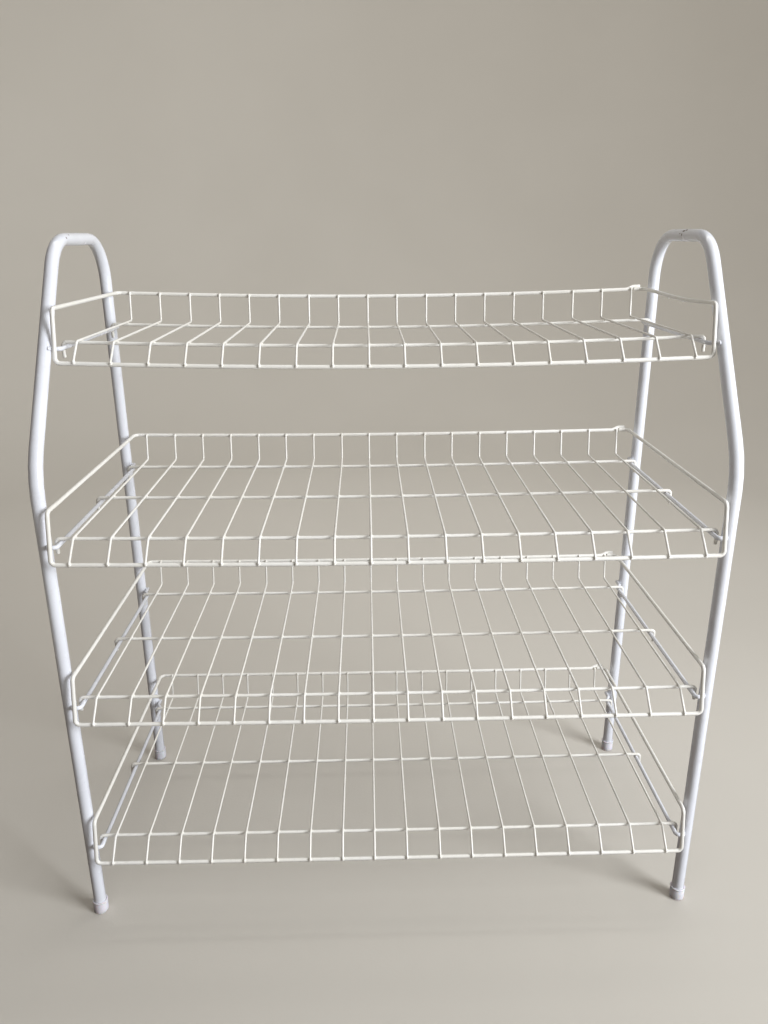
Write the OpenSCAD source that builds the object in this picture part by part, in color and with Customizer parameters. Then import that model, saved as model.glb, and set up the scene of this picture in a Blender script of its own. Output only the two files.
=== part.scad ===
// Tiered shoe rack: two hooped tube end frames with welded side bars, and four
// wire basket shelves that hang over the bars by the hooked ends of their rods.
// Millimetres. X is across the rack, the front faces -Y, and Z = 0 is the floor.
// The origin is the middle of the floor under the rack.

/* [End frames] */
// Distance between the centre lines of the two end frames
frame_span = 747; // [600:1:900]
// Distance between the centre lines of the front and rear legs
leg_depth = 318; // [314:1:340]
// Overall height, floor to the top of the hoops
overall_h = 824.5; // [815:0.5:860]
// Outside diameter of the frame tube
tube_d = 15; // [13:0.5:16]
// Wall thickness of the frame tube
tube_wall = 1.2; // [0.8:0.1:2]
// Height of the point where the front leg starts to lean back
lean_z = 584; // [575:1:600]
// Lean of the upper front leg, from the vertical
lean_angle = 32.1; // [30:0.1:33]
// Bend radius where the front leg starts to lean
lean_bend_r = 100; // [60:1:120]
// Bend radius at the front of the hoop
hoop_front_r = 58; // [40:1:65]
// Bend radius at the rear of the hoop
hoop_rear_r = 54; // [40:1:60]

/* [Foot caps] */
// Outside diameter of a foot cap
foot_d = 19; // [18:0.5:22]
// Height of a foot cap
foot_h = 17.5; // [12:0.5:24]
// Thickness of a foot cap under the tube
foot_floor = 3; // [2:0.5:5]

/* [Side bars] */
// Diameter of the side bars
bar_d = 5; // [4.6:0.1:5.4]
// Height of the lowest side bars
first_bar_z = 107; // [90:1:120]
// Height from one pair of side bars to the next
tier_pitch = 199; // [196:1:201]

/* [Shelf wires] */
// Diameter of the rim wire
rim_d = 4.8; // [4.2:0.1:5]
// Diameter of the lengthwise rods
rod_d = 4; // [3.6:0.1:4.2]
// Diameter of the cross wires
cross_d = 2.7; // [2:0.1:3]
// Number of cross wires on a shelf
cross_count = 18; // [8:1:24]
// Distance from one cross wire to the next; the wires stand closer where this would not fit inside the rim
cross_pitch = 40.25; // [20:0.25:40.25]
// Length of the hooks that hang over the side bars
hook_drop = 17.5; // [14:0.5:19]

/* [Hidden] */

$fn = 40;

// Bends are this much thicker than the runs they join, and each run laps this far into
// its bend, so that the pieces of one wire always make one solid.
bend_swell = 0.03;
bend_lap = 0.1;

// Frame: places along Y start from the front legs' centre line
front_leg_y = -154;
rear_leg_y = front_leg_y + leg_depth;
frame_x = frame_span / 2;
hoop_z = overall_h - tube_d / 2;
hoop_front_y = front_leg_y + (hoop_z - lean_z) * tan(lean_angle);

// Side bars: they run parallel to Y inside the tubes, and both ends turn out to the tubes.
// The front ends of the lower bars lie on the front of the tube; those of the top bars run into its side.
top_tier = 4;
bar_inset = 15.5;
bar_x = frame_x - bar_inset;
bar_bend_r = 4;
bar_weld_depth = 0.3;
bar_tip_inset = 3.5;
bar_front_offset = -sqrt(pow(tube_d / 2 + bar_d / 2 - bar_weld_depth, 2) - pow(bar_tip_inset, 2));
top_bar_tip_inset = tube_d / 2 - 2;
top_bar_front_offset = 4.7;
bar_rear_x = frame_x - tube_d / 2 - bar_d / 2 + bar_weld_depth;
bar_rear_end_y = rear_leg_y + 3;
bar_rear_run = 14;
bar_rear_turn = 11;

// Shelf rods: they rest on the bars with a hair of clearance
seat_gap = 0.05;
rod_lift = bar_d / 2 + rod_d / 2 + seat_gap;
hook_bend_r = 4.5;
hook_outset = 0.8;
hook_x = bar_x + hook_bend_r + hook_outset;

// Rim: a loop standing in front of, above and behind the rods. Its front uprights lean back and inwards.
rim_inset = 2.6;
rim_x = hook_x - rim_inset;
upright_lean = 5;
upright_splay = 2.3;
rail_x = rim_x + upright_splay;
rim_bend_r = 5.5;
rim_rear_bend_r = 8;
// The ends of the rim wire lap behind and above each other on the back rail
lap_back = 2.6;
lap_up = 3.4;
lap_turn = 9;
lap_bend_r = 10;
lap_past_wire = 4;
lap_end_inset = 4.5;

// Cross wires: welded on top of the rods, on the outside of the front rail and inside the back rail
rim_margin = 18;
wire_pitch = min(cross_pitch, 2 * (rim_x - rim_margin) / (cross_count - 1));
last_wire_x = (cross_count - 1) / 2 * wire_pitch;
weld_sink = 0.2;
cross_lift = rod_d / 2 + cross_d / 2 - weld_sink;
rail_reach = rim_d / 2 + cross_d / 2 - weld_sink;
lip_angle = 45;
lip_tail = 1.6;
cross_front_r = 8;
cross_rear_r = 4;
nub = 1.4;

// Each kind of shelf: [front rod, middle rod, rear rod, front rail, back rail, rear bend] along Y from
// the front legs, then [front rail, top rail] in height from the rods. The top shelf is shallower.
LOW_SHELF = [[6.5, 149.5, 290, -18.6, 327, 318], [-20.7, 37.5]];
TOP_SHELF = [[103.7, undef, 289.6, 72.5, 318.7, 310], [-19.1, 38.7]];
FRONT_ROD = 0;
MIDDLE_ROD = 1;
REAR_ROD = 2;
FRONT_RAIL = 3;
BACK_RAIL = 4;
REAR_BEND = 5;

frame_colour = [0.91, 0.92, 0.97];
shelf_colour = [0.93, 0.92, 0.89];
foot_colour = [0.88, 0.88, 0.91];

function shelf_kind(tier) = tier == top_tier ? TOP_SHELF : LOW_SHELF;
function place_y(tier, part) = front_leg_y + shelf_kind(tier)[0][part];
function bar_z(tier) = first_bar_z + (tier - 1) * tier_pitch;
function rod_z(tier) = bar_z(tier) + rod_lift;
function rail_z(tier) = rod_z(tier) + shelf_kind(tier)[1][0];
function rim_z(tier) = rod_z(tier) + shelf_kind(tier)[1][1];
function front_leg_y_at(z) = front_leg_y + max(0, z - lean_z) * tan(lean_angle);

function unit(v) = v / norm(v);
function turn(p, i) = acos(min(1, unit(p[i] - p[i - 1]) * unit(p[i + 1] - p[i])));
function is_end(p, i) = i == 0 || i == len(p) - 1;
function radius_at(r, i) = is_list(r) ? r[i - 1] : r;
function setback(p, r, i) = is_end(p, i) ? 0 : radius_at(r, i) * tan(turn(p, i) / 2);
function axes(x, y, z, at) = [
    [x[0], y[0], z[0], at[0]],
    [x[1], y[1], z[1], at[1]],
    [x[2], y[2], z[2], at[2]],
    [0, 0, 0, 1]
];

// A round straight run from a to b. An open end is chamfered; the other end laps into its bend.
module run(a, b, d, open_a, open_b, chamfer) {
    along = unit(b - a);
    side = unit(cross(along, abs(along[2]) < 0.9 ? [0, 0, 1] : [1, 0, 0]));
    low = open_a ? 0 : -bend_lap;
    high = norm(b - a) + (open_b ? 0 : bend_lap);
    cut_a = open_a ? chamfer : 0;
    cut_b = open_b ? chamfer : 0;
    profile = concat(
        [[0, low]],
        cut_a > 0 ? [[d / 2 - cut_a, low], [d / 2, low + cut_a]] : [[d / 2, low]],
        cut_b > 0 ? [[d / 2, high - cut_b], [d / 2 - cut_b, high]] : [[d / 2, high]],
        [[0, high]]
    );
    multmatrix(axes(side, cross(along, side), along, a))
        rotate_extrude()
            polygon(profile);
}

// A round bend that starts at a, heading along, and turns towards inward
module bend(a, along, inward, angle, d, r) {
    multmatrix(axes(-inward, along, cross(-inward, along), a + inward * r))
        rotate_extrude(angle = angle)
            translate([r, 0])
                circle(d = d + 2 * bend_swell);
}

// A round wire or bar along the points p, with a bend of radius r at each inner point
module bent_wire(p, d, r, chamfer = 0) {
    last = len(p) - 1;
    union() {
        for (i = [0 : last - 1]) {
            along = unit(p[i + 1] - p[i]);
            start = p[i] + along * setback(p, r, i);
            end = p[i + 1] - along * setback(p, r, i + 1);
            run(start, end, d, i == 0, i + 1 == last, chamfer);
            if (i + 1 < last) {
                next = unit(p[i + 2] - p[i + 1]);
                inward = unit(next - (next * along) * along);
                bend(end, along, inward, turn(p, i + 1), d, radius_at(r, i + 1));
            }
        }
    }
}

// One end frame: a single hollow tube from the front foot, over the hoop, to the rear foot
module frame_tube(side) {
    x = side * frame_x;
    bends = [lean_bend_r, hoop_front_r, hoop_rear_r];
    bore_past = 1;
    color(frame_colour)
        difference() {
            bent_wire(tube_path(x, foot_floor), tube_d, bends);
            bent_wire(tube_path(x, foot_floor - bore_past), tube_d - 2 * tube_wall, bends);
        }
}

function tube_path(x, foot_z) = [
    [x, front_leg_y, foot_z],
    [x, front_leg_y, lean_z],
    [x, hoop_front_y, hoop_z],
    [x, rear_leg_y, hoop_z],
    [x, rear_leg_y, foot_z]
];

// Moulded cap on a leg, with a rolled lip round its mouth
module foot(x, y) {
    edge = 1.6;
    lip = 0.5;
    lip_h = 2.4;
    wall_r = foot_d / 2 - lip;
    color(foot_colour)
        translate([x, y, 0])
            rotate_extrude()
                polygon([
                    [0, 0],
                    [wall_r - edge, 0],
                    [wall_r - edge / 4, edge / 2],
                    [wall_r, edge],
                    [wall_r, foot_h - lip_h],
                    [foot_d / 2, foot_h - lip_h + lip],
                    [foot_d / 2, foot_h - lip],
                    [foot_d / 2 - lip, foot_h],
                    [tube_d / 2, foot_h],
                    [tube_d / 2, foot_floor],
                    [0, foot_floor]
                ]);
}

// Side bar of one tier, welded to the inside of the front and rear legs
module side_bar(side, tier) {
    z = bar_z(tier);
    tip_x = frame_x - (tier == top_tier ? top_bar_tip_inset : bar_tip_inset);
    front_y = front_leg_y_at(z) + (tier == top_tier ? top_bar_front_offset : bar_front_offset);
    turn_y = bar_rear_end_y - bar_rear_run;
    color(frame_colour)
        bent_wire(
            [
                [side * tip_x, front_y, z],
                [side * bar_x, front_y, z],
                [side * bar_x, turn_y - bar_rear_turn, z],
                [side * bar_rear_x, turn_y, z],
                [side * bar_rear_x, bar_rear_end_y, z]
            ],
            bar_d,
            [bar_bend_r, 2 * bar_bend_r, 2 * bar_bend_r],
            bar_d / 6
        );
}

// Lengthwise rod of a shelf, hooked down over the side bars at both ends
module shelf_rod(tier, part) {
    y = place_y(tier, part);
    z = rod_z(tier);
    color(shelf_colour)
        bent_wire(
            [
                [-hook_x, y, z - hook_drop],
                [-hook_x, y, z],
                [hook_x, y, z],
                [hook_x, y, z - hook_drop]
            ],
            rod_d,
            hook_bend_r,
            rod_d / 6
        );
}

// Rim wire of a shelf, one loop whose ends lap on the back rail at the right
module shelf_rim(tier) {
    front_y = place_y(tier, FRONT_RAIL);
    back_y = place_y(tier, BACK_RAIL);
    low_z = rail_z(tier);
    high_z = rim_z(tier);
    lap_start_x = last_wire_x + lap_past_wire;
    color(shelf_colour)
        bent_wire(
            [
                [lap_start_x, back_y, high_z],
                [rim_x, back_y, high_z],
                [rim_x, front_y + upright_lean, high_z],
                [rail_x, front_y, low_z],
                [-rail_x, front_y, low_z],
                [-rim_x, front_y + upright_lean, high_z],
                [-rim_x, back_y, high_z],
                [lap_start_x - lap_turn, back_y, high_z],
                [lap_start_x, back_y + lap_back, high_z + lap_up],
                [rim_x - lap_end_inset, back_y + lap_back, high_z + lap_up]
            ],
            rim_d,
            [
                rim_rear_bend_r, rim_bend_r, rim_bend_r,
                rim_bend_r, rim_bend_r, rim_rear_bend_r,
                lap_bend_r, lap_bend_r
            ],
            rim_d / 6
        );
}

// Cross wires of a shelf: a sloping lip at the front, the floor over the rods, and the back
module shelf_cross_wires(tier) {
    front_y = place_y(tier, FRONT_RAIL);
    back_y = place_y(tier, BACK_RAIL);
    floor_z = rod_z(tier) + cross_lift;
    weld_y = front_y - rail_reach * sin(lip_angle);
    weld_z = rail_z(tier) + rail_reach * cos(lip_angle);
    lip_y = weld_y + (floor_z - weld_z) / tan(lip_angle);
    color(shelf_colour)
        for (i = [0 : cross_count - 1]) {
            x = i * wire_pitch - last_wire_x;
            bent_wire(
                [
                    [x, weld_y - lip_tail * cos(lip_angle), weld_z - lip_tail * sin(lip_angle)],
                    [x, lip_y, floor_z],
                    [x, place_y(tier, REAR_BEND), floor_z],
                    [x, back_y - rail_reach, rim_z(tier) + nub]
                ],
                cross_d,
                [cross_front_r, cross_rear_r],
                cross_d / 6
            );
        }
}

module left_frame_tube() { frame_tube(-1); }
module right_frame_tube() { frame_tube(1); }
module front_left_foot() { foot(-frame_x, front_leg_y); }
module front_right_foot() { foot(frame_x, front_leg_y); }
module rear_left_foot() { foot(-frame_x, rear_leg_y); }
module rear_right_foot() { foot(frame_x, rear_leg_y); }

left_frame_tube();
right_frame_tube();
front_left_foot();
front_right_foot();
rear_left_foot();
rear_right_foot();
side_bar(-1, 1);  // left_bar_1
side_bar(-1, 2);  // left_bar_2
side_bar(-1, 3);  // left_bar_3
side_bar(-1, 4);  // left_bar_4
side_bar(1, 1);  // right_bar_1
side_bar(1, 2);  // right_bar_2
side_bar(1, 3);  // right_bar_3
side_bar(1, 4);  // right_bar_4
shelf_rim(1);  // shelf_1_rim
shelf_rod(1, FRONT_ROD);  // shelf_1_front_rod
shelf_rod(1, MIDDLE_ROD);  // shelf_1_middle_rod
shelf_rod(1, REAR_ROD);  // shelf_1_rear_rod
shelf_cross_wires(1);  // shelf_1_cross_wires
shelf_rim(2);  // shelf_2_rim
shelf_rod(2, FRONT_ROD);  // shelf_2_front_rod
shelf_rod(2, MIDDLE_ROD);  // shelf_2_middle_rod
shelf_rod(2, REAR_ROD);  // shelf_2_rear_rod
shelf_cross_wires(2);  // shelf_2_cross_wires
shelf_rim(3);  // shelf_3_rim
shelf_rod(3, FRONT_ROD);  // shelf_3_front_rod
shelf_rod(3, MIDDLE_ROD);  // shelf_3_middle_rod
shelf_rod(3, REAR_ROD);  // shelf_3_rear_rod
shelf_cross_wires(3);  // shelf_3_cross_wires
shelf_rim(4);  // shelf_4_rim
shelf_rod(4, FRONT_ROD);  // shelf_4_front_rod
shelf_rod(4, REAR_ROD);  // shelf_4_rear_rod
shelf_cross_wires(4);  // shelf_4_cross_wires
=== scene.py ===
"""Looks of the tiered shoe rack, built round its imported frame. Metres, +Z up, the front faces -Y."""

import math
import random

import bmesh
import bpy
import numpy as np
from mathutils import Matrix, Vector


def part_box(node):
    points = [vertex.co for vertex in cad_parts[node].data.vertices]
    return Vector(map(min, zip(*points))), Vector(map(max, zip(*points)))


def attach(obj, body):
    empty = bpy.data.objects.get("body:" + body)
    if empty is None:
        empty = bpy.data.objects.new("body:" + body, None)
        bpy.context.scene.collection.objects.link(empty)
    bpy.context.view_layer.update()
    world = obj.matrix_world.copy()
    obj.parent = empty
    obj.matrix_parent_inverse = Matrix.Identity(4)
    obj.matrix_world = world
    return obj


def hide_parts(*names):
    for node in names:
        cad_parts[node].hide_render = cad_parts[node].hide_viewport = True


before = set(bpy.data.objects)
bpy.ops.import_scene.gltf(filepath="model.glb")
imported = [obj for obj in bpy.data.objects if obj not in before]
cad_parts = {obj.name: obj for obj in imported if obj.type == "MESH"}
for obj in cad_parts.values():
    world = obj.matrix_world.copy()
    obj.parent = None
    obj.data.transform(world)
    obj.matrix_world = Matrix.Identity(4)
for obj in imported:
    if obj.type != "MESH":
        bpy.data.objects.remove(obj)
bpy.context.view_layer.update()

MM = 0.001
SIDES = (-1, 1)
TIERS = (1, 2, 3, 4)
TOP_TIER = 4
X, Y, Z = np.eye(3)

# Gauges of the tube, bars and wires
TUBE_D = 15 * MM
TUBE_WALL = 1.2 * MM
BAR_D = 5 * MM
RIM_D = 4.8 * MM
ROD_D = 4 * MM
CROSS_D = 2.7 * MM

# End frames
LEAN_Z = 584 * MM
LEAN_ANGLE = math.radians(32.1)
TUBE_BENDS = (100 * MM, 58 * MM, 54 * MM)
BEND_FLATTENING = 0.045
BAR_INSET = 15.5 * MM
BAR_REAR_RUN = 14 * MM
BAR_REAR_TURN = 11 * MM
BAR_REAR_INSET = 9.7 * MM
# How far the front tips of the lower bars were ground back to their welds
GROUND_TIP = 1.5 * MM
BAR_BENDS = (4 * MM, 8 * MM, 8 * MM)

# Shelves
HOOK_BEND = 4.5 * MM
RIM_BEND = 5.5 * MM
RIM_REAR_BEND = 8 * MM
UPRIGHT_LEAN = 5 * MM
UPRIGHT_SPLAY = 2.3 * MM
LAP_BACK = 2.6 * MM
LAP_UP = 3.4 * MM
LAP_TURN = 9 * MM
LAP_BEND = 10 * MM
LAP_PAST_WIRE = 4 * MM
LAP_END_INSET = 4.5 * MM
CROSS_COUNT = 18
CROSS_BENDS = (8 * MM, 4 * MM)
WELD_SINK = 0.2 * MM
REAR_BEND_INSET = (9 * MM, 8.7 * MM)
LIP_ANGLE = math.radians(45)
LIP_TAIL = 1.6 * MM
NUB = 1.4 * MM

# How far each shelf sags at mid-span, and how unevenly its wires were welded
SAG = {1: 1.2 * MM, 2: 1.8 * MM, 3: 3 * MM, 4: 7 * MM}
RAIL_BOW = 3 * MM
# Where coating dripped and set under the right side rail, as shares of its length
DRIPS = {1: (), 2: (0.46,), 3: (0.52,), 4: (0.41, 0.6)}
WIRE_WANDER = 0.5 * MM
SAG_POWER = 1.1
BOW_POWER = 0.8

# How far rubbing or grime spreads from the place where wires meet; on the shelf wires this darkening is
# also painted shade
BAR_RUB = 3.2 * MM
ROD_RUB_AND_SHADE = 4 * MM
LAP_GRIME_AND_SHADE = 5 * MM
CROSS_GRIME_AND_SHADE = 2.6 * MM

# Half sizes of the weld beads along X, Y and Z, and of the drips
TOP_FRONT_BEAD = (1.9 * MM, 4.8 * MM, 2.9 * MM)
LOW_FRONT_BEAD = (2 * MM, 1.6 * MM, BAR_D / 2 + 0.2 * MM)
REAR_BEAD = (1.5 * MM, 3.6 * MM, BAR_D / 2 + 0.9 * MM)
DRIP = (1.1 * MM, 2.1 * MM, 1.4 * MM)

# Greatest turn between two rings in a bend, and greatest distance between two rings in a straight run
ARC_STEP = math.radians(11)
RUN_STEP = 16 * MM
TUBE_SIDES = 40
WIRE_SIDES = 20
ROD_SIDES = 18
CROSS_SIDES = 12
FOOT_SIDES = 48


class Shape:
    """Closed shells gathered into one mesh. Each point has a wear-and-shade value and a tone value from 0
    to 1; on the shelf wires the first also carries painted shade at the welds.
    """

    def __init__(self):
        self.points, self.faces, self.wear, self.tone = [], [], [], []
        self.count = 0

    def add(self, points, faces, tone=0.5, wear=0.0):
        self.points.append(points)
        self.faces.extend([tuple(i + self.count for i in face) for face in faces])
        self.wear.append(np.broadcast_to(wear, len(points)))
        self.tone.append(np.full(len(points), tone))
        self.count += len(points)


def unit(v):
    v = np.asarray(v, float)
    return v / np.linalg.norm(v)


def closeness(points, places, reach):
    """From 0 to 1, how close each point is to the nearest of some places."""
    if not len(places):
        return np.zeros(len(points))
    gaps = np.linalg.norm(points[:, None] - np.array(places)[None], axis=2).min(1)
    return np.exp(-((gaps / reach) ** 2))


def rounded(corners, radii):
    """Points and headings along a bent wire, as straight runs joined by round bends."""
    corners = [np.array(c, float) for c in corners]
    points, headings = [], []

    def run(a, b):
        steps = max(1, round(np.linalg.norm(b - a) / RUN_STEP))
        for i in range(steps + 1):
            points.append(a + (b - a) * i / steps)
            headings.append(unit(b - a))

    start = corners[0]
    for i in range(1, len(corners) - 1):
        before, after = unit(corners[i] - corners[i - 1]), unit(corners[i + 1] - corners[i])
        angle = math.acos(np.clip(before @ after, -1, 1))
        setback = radii[i - 1] * math.tan(angle / 2)
        run(start, corners[i] - before * setback)
        inward = unit(after - (after @ before) * before)
        centre = corners[i] - before * setback + inward * radii[i - 1]
        steps = max(2, math.ceil(angle / ARC_STEP))
        for k in range(1, steps):
            a = angle * k / steps
            points.append(centre + radii[i - 1] * (before * math.sin(a) - inward * math.cos(a)))
            headings.append(before * math.cos(a) + inward * math.sin(a))
        start = corners[i] + after * setback
    run(start, corners[-1])
    return np.array(points), np.array(headings)


def rings(points, headings, radii, sides, across, flattening=0.0):
    """Rings of points round a path. across is a direction that no heading is along."""
    angles = np.linspace(0, 2 * math.pi, sides, endpoint=False)[:, None]
    normal = unit(across)
    flattening = np.broadcast_to(flattening, len(points))
    made = []
    for point, heading, radius, flat in zip(points, headings, radii, flattening):
        normal = unit(normal - (normal @ heading) * heading)
        other = np.cross(heading, normal)
        wide, narrow = radius * (1 + flat / 2), radius * (1 - flat)
        made.append(point + np.cos(angles) * wide * normal + np.sin(angles) * narrow * other)
    return made


def skin(shells, sides, closed):
    """Faces between neighbouring rings. A closed skin also joins the last ring to the first."""
    faces = []
    last = len(shells) if closed else len(shells) - 1
    for i in range(last):
        a, b = i * sides, (i + 1) % len(shells) * sides
        for k in range(sides):
            n = (k + 1) % sides
            faces.append((a + k, a + n, b + n, b + k))
    if not closed:
        faces.append(tuple(reversed(range(sides))))
        faces.append(tuple(range((len(shells) - 1) * sides, len(shells) * sides)))
    return faces


def wire(corners, bends, d, sides, across, edge=0.35):
    """A solid wire along corners. Its ends are cut square, with edges rounded by the coating."""
    points, headings = rounded(corners, bends)
    round_r = edge * d / 2
    turns = [math.radians(angle) for angle in (90, 60, 30)]
    ends = [(round_r * (1 - math.sin(a)), d / 2 - round_r * (1 - math.cos(a))) for a in turns]
    first = [(points[0] + headings[0] * shift, headings[0], r) for shift, r in ends]
    last = [(points[-1] - headings[-1] * shift, headings[-1], r) for shift, r in reversed(ends)]
    points[0] += headings[0] * round_r
    points[-1] -= headings[-1] * round_r
    middle = [(p, h, d / 2) for p, h in zip(points, headings)]
    places, directions, radii = zip(*(first + middle + last))
    made = rings(places, directions, radii, sides, across)
    return np.concatenate(made), skin(made, sides, closed=False)


def blob(centre, half_x, half_y, half_z, sides=12, steps=6):
    """A weld's bead or a drip of coating: an ellipsoid with these three half axes."""
    made = []
    for i in range(1, steps):
        a = math.pi * i / steps
        angles = np.linspace(0, 2 * math.pi, sides, endpoint=False)[:, None]
        circle = np.cos(angles) * half_x + np.sin(angles) * half_y
        made.append(centre + math.sin(a) * circle + math.cos(a) * half_z)
    points = np.concatenate(made + [[centre + half_z], [centre - half_z]])
    faces = [f for f in skin(made, sides, closed=False) if len(f) == 4]
    top, bottom, last = len(points) - 2, len(points) - 1, (steps - 2) * sides
    for k in range(sides):
        n = (k + 1) % sides
        faces.append((top, n, k))
        faces.append((bottom, last + k, last + n))
    return points, faces


def bead(shape, centre, half_sizes, wear=0.0):
    """Adds a blob whose axes lie along X, Y and Z."""
    half_x, half_y, half_z = half_sizes
    shape.add(*blob(centre, X * half_x, Y * half_y, Z * half_z), wear=wear)


def piece(name, shape, body, material, nodes, warp=None):
    """Makes one named object that stands for CAD nodes and rides on a body."""
    points = np.concatenate(shape.points)
    if warp:
        points = warp(points)
    mesh = bpy.data.meshes.new(name)
    mesh.from_pydata([tuple(p) for p in points], [], shape.faces)
    for key, values in (("wear", shape.wear), ("tone", shape.tone)):
        attribute = mesh.attributes.new(key, "FLOAT", "POINT")
        attribute.data.foreach_set("value", np.concatenate(values).astype(np.float32))
    edit = bmesh.new()
    edit.from_mesh(mesh)
    bmesh.ops.recalc_face_normals(edit, faces=edit.faces)
    edit.to_mesh(mesh)
    edit.free()
    mesh.polygons.foreach_set("use_smooth", [True] * len(mesh.polygons))
    mesh.materials.append(material)
    made = bpy.data.objects.new(name + "_visual", mesh)
    bpy.context.scene.collection.objects.link(made)
    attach(made, body)
    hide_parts(*nodes)
    return made


# Materials


class Finish:
    """A material on a Principled surface, with one short call for each kind of node."""

    def __init__(self, name):
        self.material = bpy.data.materials.new(name)
        self.material.use_nodes = True
        self.tree = self.material.node_tree
        self.surface = self.tree.nodes["Principled BSDF"]
        self.place = self.node("ShaderNodeTexCoord").outputs["Object"]

    def node(self, kind, settings=(), **inputs):
        made = self.tree.nodes.new(kind)
        for key, value in dict(settings).items():
            setattr(made, key, value)
        for key, value in inputs.items():
            self.feed(made.inputs[key.replace("_", " ")], value)
        return made

    def feed(self, socket, value):
        if isinstance(value, bpy.types.NodeSocket):
            self.tree.links.new(value, socket)
        else:
            socket.default_value = value

    def set(self, **inputs):
        for key, value in inputs.items():
            self.feed(self.surface.inputs[key.replace("_", " ")], value)

    def noise(self, scale, detail=2.0, roughness=0.5, place=None):
        made = self.node(
            "ShaderNodeTexNoise",
            Vector=place or self.place,
            Scale=scale,
            Detail=detail,
            Roughness=roughness,
        )
        return made.outputs["Fac"]

    def math(self, operation, a, b=0.0):
        made = self.node("ShaderNodeMath", {"operation": operation})
        self.feed(made.inputs[0], a)
        self.feed(made.inputs[1], b)
        return made.outputs[0]

    def spread(self, value, low, high, to_low=0.0, to_high=1.0):
        """value from low to high as a smooth step from to_low to to_high."""
        made = self.node(
            "ShaderNodeMapRange",
            {"interpolation_type": "SMOOTHSTEP"},
            Value=value,
            From_Min=low,
            From_Max=high,
            To_Min=to_low,
            To_Max=to_high,
        )
        return made.outputs["Result"]

    def mix(self, share, a, b):
        made = self.node("ShaderNodeMix", {"data_type": "RGBA"})
        self.feed(made.inputs["Factor"], share)
        self.feed(made.inputs[6], a)
        self.feed(made.inputs[7], b)
        return made.outputs[2]

    def point_value(self, name):
        return self.node("ShaderNodeAttribute", {"attribute_name": name}).outputs["Fac"]

    def axis(self, letter):
        return self.node("ShaderNodeSeparateXYZ", Vector=self.place).outputs[letter]

    def facing_up(self, low, high):
        normal = self.node("ShaderNodeNewGeometry").outputs["Normal"]
        return self.spread(self.node("ShaderNodeSeparateXYZ", Vector=normal).outputs["Z"], low, high)

    def spots(self, places):
        """From 0 to 1 inside ragged spots, each given as a place and a size along each axis."""
        raggedness, outside, inside = 1.3, 1.62, 1.5
        ragged = self.math("MULTIPLY", self.noise(420, 4, 0.7), raggedness)
        total = None
        for place, size in places:
            offset = self.node("ShaderNodeVectorMath", {"operation": "SUBTRACT"})
            self.feed(offset.inputs[0], self.place)
            self.feed(offset.inputs[1], place)
            scaled = self.node("ShaderNodeVectorMath", {"operation": "DIVIDE"})
            self.feed(scaled.inputs[0], offset.outputs[0])
            self.feed(scaled.inputs[1], size)
            length = self.node("ShaderNodeVectorMath", {"operation": "LENGTH"})
            self.feed(length.inputs[0], scaled.outputs[0])
            edge = self.math("ADD", length.outputs["Value"], ragged)
            spot = self.spread(edge, outside, inside)
            total = spot if total is None else self.math("MAXIMUM", total, spot)
        return total

    def bump(self, height, depth, under=None):
        made = self.node("ShaderNodeBump", Height=height, Distance=depth, Strength=1.0)
        if under:
            self.feed(made.inputs["Normal"], under)
        return made.outputs["Normal"]


def rgb(r, g, b):
    return (r, g, b, 1.0)


# Bare steel and rust in the chips; the same colours paint the reflection on the front right leg.
DARK_STEEL_AND_REFLECTION = rgb(0.07, 0.06, 0.055)
RUST_AND_REFLECTION = rgb(0.12, 0.065, 0.04)
GRIME = rgb(0.3, 0.26, 0.22)


def frame_enamel(chip_and_reflection_marks):
    """Glossy cool white enamel, its cool tint partly a painted reflection of daylight: orange peel, faint
    clouds, pinholes, rub marks, chips to steel, and one painted reflection drawn like a chip.
    """
    f = Finish("frame_enamel")
    # The cool blue tint is partly the enamel's own colour and partly a painted reflection of daylight on
    # the gloss.
    clouds = f.spread(f.noise(11, 3), 0.35, 0.68)
    colour = f.mix(clouds, rgb(0.8, 0.82, 0.88), rgb(0.755, 0.77, 0.83))
    smears = f.spread(f.noise(46, 5, 0.65), 0.56, 0.74, 0, 0.22)
    colour = f.mix(smears, colour, rgb(0.6, 0.57, 0.58))
    pinholes = f.spread(f.noise(950, 1), 0.77, 0.8, 0, 0.55)
    colour = f.mix(pinholes, colour, GRIME)
    rubbed = f.math("MULTIPLY", f.point_value("wear"), f.spread(f.noise(330, 4, 0.7), 0.4, 0.62))
    colour = f.mix(rubbed, colour, rgb(0.33, 0.3, 0.29))
    # Chips to bare steel, plus one painted reflection on the front right leg drawn the same way.
    chip_and_reflection_mask = f.spots(chip_and_reflection_marks)
    steel_and_reflection = f.mix(f.spread(f.noise(260, 3), 0.45, 0.6), DARK_STEEL_AND_REFLECTION, RUST_AND_REFLECTION)
    colour = f.mix(chip_and_reflection_mask, colour, steel_and_reflection)
    rough = f.spread(f.noise(30, 4), 0.3, 0.75, 0.17, 0.3)
    rough = f.math("ADD", rough, f.math("MULTIPLY", rubbed, 0.25))
    rough = f.math("ADD", rough, f.math("MULTIPLY", chip_and_reflection_mask, 0.4))
    peel = f.bump(f.noise(380, 2), 0.05 * MM)
    normal = f.bump(f.math("SUBTRACT", 1.0, chip_and_reflection_mask), 0.12 * MM, peel)
    f.set(Base_Color=colour, Roughness=rough, Normal=normal)
    f.set(Coat_Weight=0.45, Coat_Roughness=0.07, Specular_IOR_Level=0.5)
    return f.material


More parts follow.
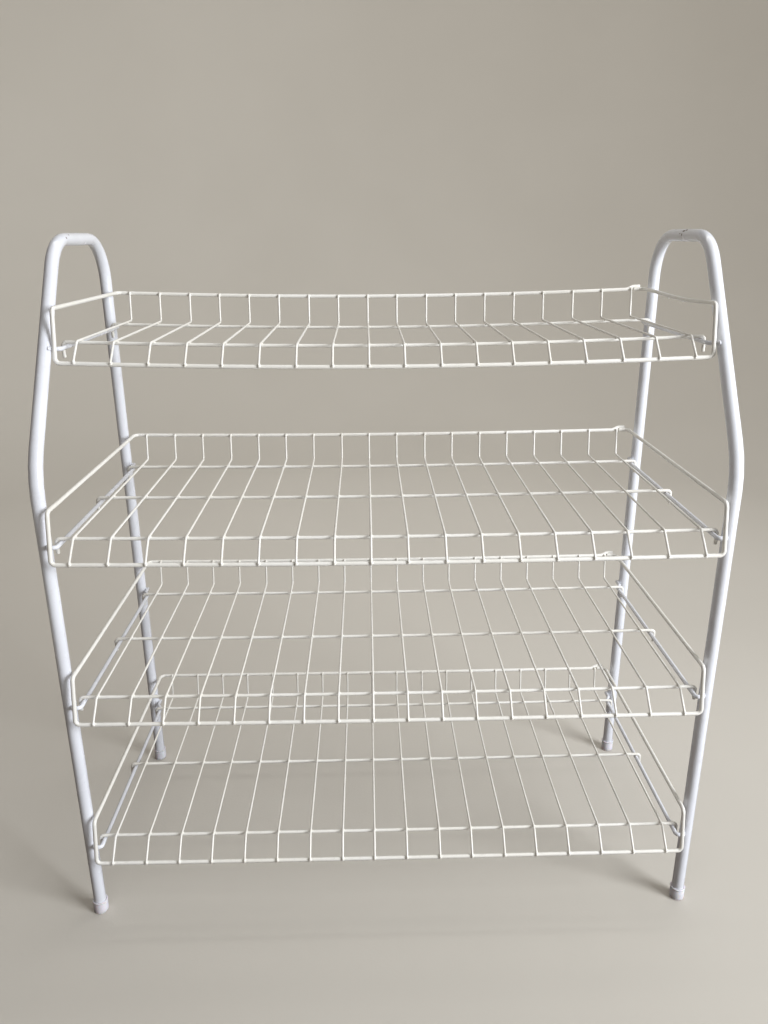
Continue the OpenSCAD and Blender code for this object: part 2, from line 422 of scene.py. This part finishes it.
def shelf_coating():
    """Warm off-white dipped coating: it yellows in patches, gathers dust on top, and darkens at the welds
    with grime and painted shade.
    """
    f = Finish("shelf_coating")
    aged = f.spread(f.noise(8, 3), 0.34, 0.7)
    fresh = f.mix(f.point_value("tone"), rgb(0.84, 0.825, 0.78), rgb(0.86, 0.85, 0.82))
    colour = f.mix(aged, fresh, rgb(0.83, 0.81, 0.755))
    dust = f.math("MULTIPLY", f.facing_up(0.35, 0.95), f.spread(f.noise(120, 5, 0.7), 0.46, 0.7))
    colour = f.mix(f.math("MULTIPLY", dust, 0.35), colour, rgb(0.6, 0.57, 0.52))
    pinholes = f.spread(f.noise(900, 1), 0.76, 0.79, 0, 0.6)
    colour = f.mix(pinholes, colour, GRIME)
    # Darker near welds and where rods sit: grime and rubbing, plus painted shade where the wires meet.
    weld_grime_and_shade = f.math("MULTIPLY", f.point_value("wear"), f.spread(f.noise(500, 4, 0.7), 0.38, 0.68))
    colour = f.mix(f.math("MULTIPLY", weld_grime_and_shade, 0.55), colour, rgb(0.42, 0.36, 0.28))
    rough = f.spread(f.noise(60, 3), 0.3, 0.7, 0.28, 0.42)
    rough = f.math("ADD", rough, f.math("MULTIPLY", dust, 0.2))
    normal = f.bump(f.noise(520, 2), 0.06 * MM)
    f.set(Base_Color=colour, Roughness=rough, Normal=normal)
    f.set(Coat_Weight=0.2, Coat_Roughness=0.15)
    return f.material


def foot_plastic():
    """Moulded cap: fine matt grain, soft depth, scuffs, and dirt picked up from the floor."""
    f = Finish("foot_cap")
    colour = f.mix(f.spread(f.noise(90, 3), 0.35, 0.7), rgb(0.79, 0.78, 0.84), rgb(0.72, 0.7, 0.75))
    low = f.spread(f.axis("Z"), 4.5 * MM, 0.3 * MM)
    dirt = f.math("MULTIPLY", low, f.spread(f.noise(300, 5, 0.7), 0.35, 0.62))
    colour = f.mix(f.math("MULTIPLY", dirt, 0.75), colour, rgb(0.22, 0.19, 0.16))
    scuffs = f.math("MULTIPLY", f.point_value("wear"), f.spread(f.noise(700, 3), 0.5, 0.62))
    colour = f.mix(f.math("MULTIPLY", scuffs, 0.5), colour, GRIME)
    rough = f.spread(f.noise(200, 4), 0.3, 0.7, 0.36, 0.52)
    grain = f.bump(f.noise(1500, 2), 0.03 * MM)
    f.set(Base_Color=colour, Roughness=rough, Normal=grain)
    f.set(Subsurface_Weight=0.12, Subsurface_Scale=2 * MM)
    return f.material


def studio_paper():
    """The pale warm sweep under and round the rack."""
    f = Finish("studio_paper")
    colour = f.mix(f.spread(f.noise(1.3, 3), 0.3, 0.7), rgb(0.59, 0.56, 0.51), rgb(0.57, 0.54, 0.49))
    f.set(Base_Color=colour, Roughness=0.7, Specular_IOR_Level=0.25)
    f.set(Normal=f.bump(f.noise(260, 3), 0.1 * MM))
    return f.material


def card_cloth():
    """Dark warm cloth on the studio's shading cards. It is only there for what its front side faces."""
    f = Finish("card_cloth")
    f.set(Base_Color=f.mix(f.noise(40, 3), rgb(0.1, 0.08, 0.065), rgb(0.14, 0.11, 0.09)), Roughness=0.95)
    behind = f.node("ShaderNodeNewGeometry").outputs["Backfacing"]
    clear = f.node("ShaderNodeBsdfTransparent").outputs["BSDF"]
    either = f.node("ShaderNodeMixShader", Fac=behind)
    f.feed(either.inputs[1], f.surface.outputs["BSDF"])
    f.feed(either.inputs[2], clear)
    output = next(n for n in f.tree.nodes if n.type == "OUTPUT_MATERIAL")
    f.feed(output.inputs["Surface"], either.outputs["Shader"])
    return f.material


# End frames


def middle(box, letter):
    return (getattr(box[0], letter) + getattr(box[1], letter)) / 2


def tube_corners(node):
    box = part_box(node)
    x = middle(box, "x")
    front, rear = box[0].y + TUBE_D / 2, box[1].y - TUBE_D / 2
    low, high = box[0].z, box[1].z - TUBE_D / 2
    hoop_front = front + (high - LEAN_Z) * math.tan(LEAN_ANGLE)
    return [(x, front, low), (x, front, LEAN_Z), (x, hoop_front, high), (x, rear, high), (x, rear, low)]


def frame_tube(node, material):
    """A hollow bent tube, a little flattened where it is bent."""
    points, headings = rounded(tube_corners(node), TUBE_BENDS)
    straight_limit = math.radians(2)
    turning = np.linalg.norm(np.gradient(headings, axis=0), axis=1) > straight_limit
    flat = np.convolve(turning, [0.25, 0.5, 0.25], "same") * BEND_FLATTENING
    outer_r = np.full(len(points), TUBE_D / 2)
    inner_r = np.full(len(points), TUBE_D / 2 - TUBE_WALL)
    outer = rings(points, headings, outer_r, TUBE_SIDES, X, flat)
    inner = rings(points, headings, inner_r, TUBE_SIDES, X, flat)
    shape = Shape()
    made = outer + inner[::-1]
    shape.add(np.concatenate(made), skin(made, TUBE_SIDES, closed=True))
    piece(node, shape, "end_frames", material, [node])


def foot_cap(node, material):
    """A moulded cap: rounded foot, slight taper, a groove and a rolled lip round the mouth."""
    lo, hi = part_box(node)
    x, y, radius, height = (lo.x + hi.x) / 2, (lo.y + hi.y) / 2, (hi.x - lo.x) / 2, hi.z - lo.z
    lip_out, lip_h, lip_r = 0.5 * MM, 2.4 * MM, 0.85 * MM
    edge_r, recess_r, recess_h, recess_slope = 1.9 * MM, 4.2 * MM, 0.25 * MM, 0.6 * MM
    taper, groove, groove_h, groove_gap = 0.12 * MM, 0.35 * MM, 0.7 * MM, 0.5 * MM
    mouth_gap, bore_gap, mouth_h, bore_h, hollow_z = 0.25 * MM, 0.05 * MM, 0.35 * MM, 1.2 * MM, 3 * MM
    steps, centre_r = 6, 0.2 * MM
    wall = radius - lip_out
    # Each point is a distance from the cap's axis and a height above the floor
    profile = [(0, recess_h), (wall - recess_r, recess_h), (wall - recess_r + recess_slope, 0)]
    profile.append((wall - edge_r, 0))
    for i in range(1, steps + 1):
        a = math.radians(90 * i / steps)
        profile.append((wall + edge_r * (math.sin(a) - 1), edge_r * (1 - math.cos(a))))
    groove_z = height - lip_h - groove_gap
    profile += [(wall - taper, groove_z - groove_h), (wall - groove, groove_z)]
    for i in range(steps + 1):
        a = math.radians(180 * i / steps - 90)
        bulge_z = height - lip_h / 2 + lip_h / 2 * math.sin(a)
        profile.append((radius - lip_r + lip_r * math.cos(a), bulge_z))
    profile += [(TUBE_D / 2 + mouth_gap, height - mouth_h), (TUBE_D / 2 + bore_gap, height - bore_h)]
    profile += [(TUBE_D / 2 + bore_gap, hollow_z), (0, hollow_z)]
    angles = np.linspace(0, 2 * math.pi, FOOT_SIDES, endpoint=False)
    circle = np.stack([np.cos(angles), np.sin(angles), np.zeros(FOOT_SIDES)], axis=1)
    made = [np.array([x, y, lo.z + z]) + circle * max(r, centre_r) for r, z in profile]
    points = np.concatenate(made)
    scuffed = np.clip((points[:, 2] - lo.z - groove_z) / lip_h, 0, 1)
    shape = Shape()
    shape.add(points, skin(made, FOOT_SIDES, closed=False), wear=scuffed)
    piece(node, shape, "end_frames", material, [node])


def side_bar(side, tier, material):
    """A bar whose ends turn out to the legs, with weld beads, and rubbed where the rods sit on it."""
    side_name = "left" if side < 0 else "right"
    name = f"{side_name}_bar_{tier}"
    lo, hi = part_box(name)
    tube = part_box(side_name + "_frame_tube")
    frame_x, rear_leg_y = middle(tube, "x"), tube[1].y - TUBE_D / 2
    z, tip_x, bar_x = (lo.z + hi.z) / 2, hi.x if side > 0 else lo.x, frame_x - side * BAR_INSET
    rear_x = frame_x - side * BAR_REAR_INSET
    front_y, turn_y = lo.y + BAR_D / 2, hi.y - BAR_REAR_RUN
    tip_x -= side * GROUND_TIP if tier != TOP_TIER else 0
    corners = [
        (tip_x, front_y, z),
        (bar_x, front_y, z),
        (bar_x, turn_y - BAR_REAR_TURN, z),
        (rear_x, turn_y, z),
        (rear_x, hi.y, z),
    ]
    shape = Shape()
    points, faces = wire(corners, BAR_BENDS, BAR_D, WIRE_SIDES, Z)
    rods = [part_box(n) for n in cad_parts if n.startswith(f"shelf_{tier}_") and n.endswith("_rod")]
    seats = [np.array([bar_x, middle(rod, "y"), z + BAR_D / 2]) for rod in rods]
    shape.add(points, faces, wear=closeness(points, seats, BAR_RUB))
    if tier == TOP_TIER:
        inset, ahead, up = 6.3 * MM, 6.8 * MM, 1.4 * MM
        bead(shape, np.array([frame_x - side * inset, front_y - ahead, z + up]), TOP_FRONT_BEAD, wear=0.1)
    else:
        inset, behind = 5.2 * MM, 1.9 * MM
        bead(shape, np.array([frame_x - side * inset, front_y + behind, z]), LOW_FRONT_BEAD, wear=0.2)
    inset = TUBE_D / 2 + 0.1 * MM
    bead(shape, np.array([frame_x - side * inset, rear_leg_y, z]), REAR_BEAD, wear=0.25)
    piece(name, shape, "end_frames", material, [name])


# Shelves


class Shelf:
    """Where the wires of one shelf lie, read from the frame."""

    def __init__(self, tier):
        self.tier, self.name = tier, f"shelf_{tier}"
        lo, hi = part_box(self.name + "_rim")
        self.rail_x = hi.x - RIM_D / 2
        self.rim_x = self.rail_x - UPRIGHT_SPLAY
        self.front_y, self.back_y = lo.y + RIM_D / 2, hi.y - RIM_D / 2 - LAP_BACK
        self.rail_z, self.rim_z = lo.z + RIM_D / 2, hi.z - RIM_D / 2 - LAP_UP
        self.rods = {
            part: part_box(f"{self.name}_{part}_rod")
            for part in ("front", "middle", "rear")
            if f"{self.name}_{part}_rod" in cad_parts
        }
        self.rod_z = self.rods["front"][1].z - ROD_D / 2
        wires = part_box(self.name + "_cross_wires")
        self.last_wire_x = wires[1].x - CROSS_D / 2
        self.wire_pitch = 2 * self.last_wire_x / (CROSS_COUNT - 1)
        chance = random.Random(tier)
        self.wander = [chance.uniform(-1, 1) * WIRE_WANDER for _ in range(CROSS_COUNT)]
        self.tones = [chance.random() for _ in range(CROSS_COUNT)]

    def warp(self, points):
        """Sags the shelf between its hooks, and bows the top shelf's right side rail."""
        points = points.copy()
        share = np.clip(np.abs(points[:, 0]) / self.rim_x, 0, 1)
        points[:, 2] -= SAG[self.tier] * (1 - share**2) ** SAG_POWER
        if self.tier == TOP_TIER:
            along = np.clip((points[:, 1] - self.front_y) / (self.back_y - self.front_y), 0, 1)
            rail = (points[:, 0] > self.rim_x - RIM_D) & (points[:, 2] > self.rim_z - RIM_D)
            points[:, 2] -= rail * RAIL_BOW * np.sin(math.pi * along**BOW_POWER) ** 2
        return points

    def piece(self, part, shape, material):
        name = f"{self.name}_{part}"
        piece(name, shape, self.name, material, [name], self.warp)


def rim(shelf, material):
    """The rim wire: one loop, whose second end lies behind and above the first on the back rail."""
    x, rail_x, front, back = shelf.rim_x, shelf.rail_x, shelf.front_y, shelf.back_y
    low, high, top_front = shelf.rail_z, shelf.rim_z, shelf.front_y + UPRIGHT_LEAN
    lap_x = shelf.last_wire_x + LAP_PAST_WIRE
    corners = [(lap_x, back, high), (x, back, high), (x, top_front, high), (rail_x, front, low)]
    corners += [(-rail_x, front, low), (-x, top_front, high), (-x, back, high)]
    corners += [(lap_x - LAP_TURN, back, high), (lap_x, back + LAP_BACK, high + LAP_UP)]
    corners += [(x - LAP_END_INSET, back + LAP_BACK, high + LAP_UP)]
    bends = [RIM_REAR_BEND] + [RIM_BEND] * 4 + [RIM_REAR_BEND] + [LAP_BEND] * 2
    shape = Shape()
    points, faces = wire(corners, bends, RIM_D, WIRE_SIDES, (0.1, 0.2, 1))
    lap = np.array([(lap_x + x) / 2 - 2 * MM, back + LAP_BACK / 2, high + LAP_UP / 2])
    # Darker round the lap: grime plus painted shade where the two ends overlap.
    shape.add(points, faces, wear=closeness(points, [lap], LAP_GRIME_AND_SHADE) * 0.6)
    half_length, across = (x - lap_x) / 3, unit([0, LAP_UP, -LAP_BACK])
    upward = np.cross(X, across)
    shape.add(*blob(lap, X * half_length, across * 1.5 * MM, upward * 2 * MM), wear=0.4)
    for share in DRIPS[shelf.tier]:
        hang = RIM_D / 2 + 0.2 * MM
        bead(shape, np.array([x, front + (back - front) * share, high - hang]), DRIP)
    shelf.piece("rim", shape, material)


def rod(shelf, part, material):
    """A lengthwise rod, hooked down at both ends. Coating has pooled at the tips of the hooks."""
    lo, hi = shelf.rods[part]
    x, y, z = hi.x - ROD_D / 2, (lo.y + hi.y) / 2, hi.z - ROD_D / 2
    corners = [(-x, y, lo.z), (-x, y, z), (x, y, z), (x, y, lo.z)]
    shape = Shape()
    points, faces = wire(corners, [HOOK_BEND] * 2, ROD_D, ROD_SIDES, Y, edge=0.6)
    seats = [np.array([s * (x - HOOK_BEND), y, z - ROD_D / 2]) for s in SIDES]
    # Darker where the hooks sit on the bars: rubbing plus painted shade.
    shape.add(points, faces, wear=closeness(points, seats, ROD_RUB_AND_SHADE))
    shelf.piece(part + "_rod", shape, material)


def cross_wires(shelf, material):
    """The cross wires, with a coated weld bead wherever one meets a rod or a rail."""
    lift = ROD_D / 2 + CROSS_D / 2 - WELD_SINK
    reach = RIM_D / 2 + CROSS_D / 2 - WELD_SINK
    floor_z = shelf.rod_z + lift
    down = np.array([0, -math.cos(LIP_ANGLE), -math.sin(LIP_ANGLE)])
    out = np.array([0, -math.sin(LIP_ANGLE), math.cos(LIP_ANGLE)])
    rear_bend_y = shelf.back_y - REAR_BEND_INSET[shelf.tier == TOP_TIER]
    side_bead, end_bead, height = CROSS_D / 2 + 0.75 * MM, 0.6 * MM, 1.05 * MM
    shape = Shape()
    for i in range(CROSS_COUNT):
        at = (i - (CROSS_COUNT - 1) / 2) * shelf.wire_pitch + shelf.wander[i]
        rail = np.array([at, shelf.front_y, shelf.rail_z])
        foot = rail + out * reach
        lip = foot - down * ((floor_z - foot[2]) / math.sin(LIP_ANGLE))
        top = (at, shelf.back_y - reach, shelf.rim_z + NUB)
        corners = [foot + down * LIP_TAIL, lip, (at, rear_bend_y, floor_z), top]
        points, faces = wire(corners, CROSS_BENDS, CROSS_D, CROSS_SIDES, X, edge=0.7)
        beads = []
        for box in shelf.rods.values():
            place = np.array([at, middle(box, "y"), shelf.rod_z + ROD_D / 2])
            beads.append((place, Y * (ROD_D / 2 + end_bead), Z * height))
        beads.append((rail + out * RIM_D / 2, down * (RIM_D / 2 + end_bead), out * height))
        back = np.array([at, shelf.back_y - RIM_D / 2, shelf.rim_z])
        beads.append((back, Z * (RIM_D / 2 + end_bead), Y * height))
        welds = [place for place, _, _ in beads]
        # Wires and beads darker near the welds: grime plus painted shade.
        shape.add(points, faces, shelf.tones[i], closeness(points, welds, CROSS_GRIME_AND_SHADE))
        for place, along, up in beads:
            shape.add(*blob(place, X * side_bead, along, up), tone=shelf.tones[i], wear=0.85)
    shelf.piece("cross_wires", shape, material)


# Studio


def sweep_floor(material):
    """A flat pale floor whose far edge rises on all sides, so that no horizon shows."""
    centre_r, flat_r, rise_r, wall_h, sides, steps = 0.02, 2.0, 1.6, 3.4, 96, 12
    profile = [(centre_r, 0), (flat_r, 0)]
    for i in range(1, steps + 1):
        a = math.radians(90 * i / steps)
        profile.append((flat_r + rise_r * math.sin(a), rise_r * (1 - math.cos(a))))
    profile.append((flat_r + rise_r, wall_h))
    angles = np.linspace(0, 2 * math.pi, sides, endpoint=False)
    circle = np.stack([np.cos(angles), np.sin(angles), np.zeros(sides)], axis=1)
    made = [circle * r + Z * z for r, z in profile]
    mesh = bpy.data.meshes.new("studio_sweep")
    faces = skin(made, sides, closed=False)[:-1]
    mesh.from_pydata([tuple(p) for p in np.concatenate(made)], [], faces)
    mesh.polygons.foreach_set("use_smooth", [True] * len(mesh.polygons))
    mesh.materials.append(material)
    made = bpy.data.objects.new("studio_sweep", mesh)
    bpy.context.scene.collection.objects.link(made)


def soft_light(name, place, target, size, watts, colour, spread=180):
    """A rectangular lamp of this width and height. Its light fans out over spread degrees."""
    lamp = bpy.data.lights.new(name, "AREA")
    lamp.spread = math.radians(spread)
    lamp.shape = "RECTANGLE"
    lamp.size, lamp.size_y = size
    lamp.energy = watts
    lamp.color = colour
    made = bpy.data.objects.new(name, lamp)
    made.location = place
    made.rotation_euler = (Vector(target) - Vector(place)).to_track_quat("-Z", "Y").to_euler()
    made.visible_camera = False
    bpy.context.scene.collection.objects.link(made)


def dark_card(name, corners, material):
    """A dark card that only reflections and soft light see; it deepens the shaded sides of the wires."""
    mesh = bpy.data.meshes.new(name)
    mesh.from_pydata(corners, [], [(0, 1, 2, 3)])
    mesh.materials.append(material)
    made = bpy.data.objects.new(name, mesh)
    made.visible_camera = False
    made.visible_shadow = False
    bpy.context.scene.collection.objects.link(made)


def studio():
    """A window on the right, a weak ceiling light, and washes on the sweep behind and in front."""
    sweep_floor(studio_paper())
    rack, behind, in_front = (0, 0, 0.42), (0, 3.4, 0.9), (0, -3.5, 1.1)
    daylight, lamplight, wash = (0.94, 0.97, 1.0), (1.0, 0.98, 0.95), (1.0, 0.99, 0.96)
    soft_light("window", (2.1, -1.5, 1.25), rack, (1.2, 1.5), 37, daylight, spread=110)
    soft_light("ceiling", (0.5, 0.1, 3.0), rack, (2.4, 2.4), 22, lamplight)
    soft_light("wall_wash", (0.2, 0.75, 2.6), behind, (2.6, 0.8), 36, wash)
    soft_light("front_wash", (0, -1.5, 2.7), in_front, (2.6, 0.8), 16, wash)
    cloth = card_cloth()
    low, card_low, card_high = 0.002, 0.4, 2
    under = [(-1, -0.8, low), (1, -0.8, low), (1, 0.6, low), (-1, 0.6, low)]
    left = [(-1.5, 1.2, card_low), (-1.5, 1.2, card_high), (-1.5, -1.8, card_high), (-1.5, -1.8, card_low)]
    front = [(-1.5, -1.4, card_low), (-1.5, -1.4, 1.9), (-0.2, -2, 1.9), (-0.2, -2, card_low)]
    dark_card("floor_card", under, cloth)
    dark_card("left_card", left, cloth)
    dark_card("front_card", front, cloth)
    world = bpy.data.worlds.new("studio")
    world.use_nodes = True
    background = world.node_tree.nodes["Background"]
    background.inputs["Color"].default_value = rgb(0.6, 0.57, 0.53)
    background.inputs["Strength"].default_value = 0.18
    bpy.context.scene.world = world
    bpy.context.scene.view_settings.view_transform = "Standard"


def camera():
    """As high as the hoops and a little left of centre, looking down at the middle shelves."""
    place = Vector((-0.0235, -0.9702, 0.8219))
    yaw, pitch, roll = math.radians(1.230), math.radians(19.200), math.radians(-0.367)
    data = bpy.data.cameras.new("camera")
    data.lens = 28.16
    data.sensor_width = 36
    data.clip_start = 20 * MM
    made = bpy.data.objects.new("camera", data)
    turn = Matrix.Rotation(-yaw, 4, "Z") @ Matrix.Rotation(math.pi / 2 - pitch, 4, "X")
    made.matrix_world = Matrix.Translation(place) @ turn @ Matrix.Rotation(roll, 4, "Z")
    bpy.context.scene.collection.objects.link(made)
    bpy.context.scene.camera = made


def hoop_chips_and_leg_reflection():
    """Chips on the inner sides of the hoops, where the rack gets knocked, and a painted reflection on the
    front right leg drawn like a chip.
    """
    left, right = (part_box(n) for n in ("left_frame_tube", "right_frame_tube"))
    top, grow = right[1].z, 1.4
    # Each chip: offset along X from the tube's centre line, place along Y, distance below the top of the
    # hoop, and half sizes along X, Y and Z before they are all made larger by grow. All are in millimetres.
    marks = [
        (right, -5.4, 60, 2.4, (1.1, 3, 1)),
        (right, -4.1, 54.5, 1.4, (1.2, 2.6, 1)),
        (right, -7.3, 61, 6.6, (0.9, 1.1, 1.3)),
        (right, -7, 68, 5.4, (0.7, 1.3, 0.6)),
        (right, -2, 96, 0.3, (0.9, 1.6, 0.8)),
        (left, 5.4, 27, 2.4, (0.8, 1, 0.8)),
        (left, 6.8, 14, 5.6, (0.7, 0.8, 1.2)),
    ]
    chip_and_reflection_marks = []
    for box, inset, y, drop, size in marks:
        place = (middle(box, "x") + inset * MM, y * MM, top - drop * MM)
        chip_and_reflection_marks.append((place, tuple(grow * half * MM for half in size)))
    # Painted reflection: a small warm dark streak on the leg's shaded inner flank, drawn as a chip.
    leg_reflection_mark = (middle(right, "x") - 5.2 * MM, right[0].y + 2.1 * MM, 583 * MM)
    chip_and_reflection_marks.append((leg_reflection_mark, (1.3 * MM, 1.6 * MM, 2.6 * MM)))
    return chip_and_reflection_marks


enamel, coating, plastic = frame_enamel(hoop_chips_and_leg_reflection()), shelf_coating(), foot_plastic()
for tube in ("left_frame_tube", "right_frame_tube"):
    frame_tube(tube, enamel)
for foot in [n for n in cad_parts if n.endswith("_foot")]:
    foot_cap(foot, plastic)
for tier in TIERS:
    for side in SIDES:
        side_bar(side, tier, enamel)
    shelf = Shelf(tier)
    rim(shelf, coating)
    for part in shelf.rods:
        rod(shelf, part, coating)
    cross_wires(shelf, coating)
studio()
camera()
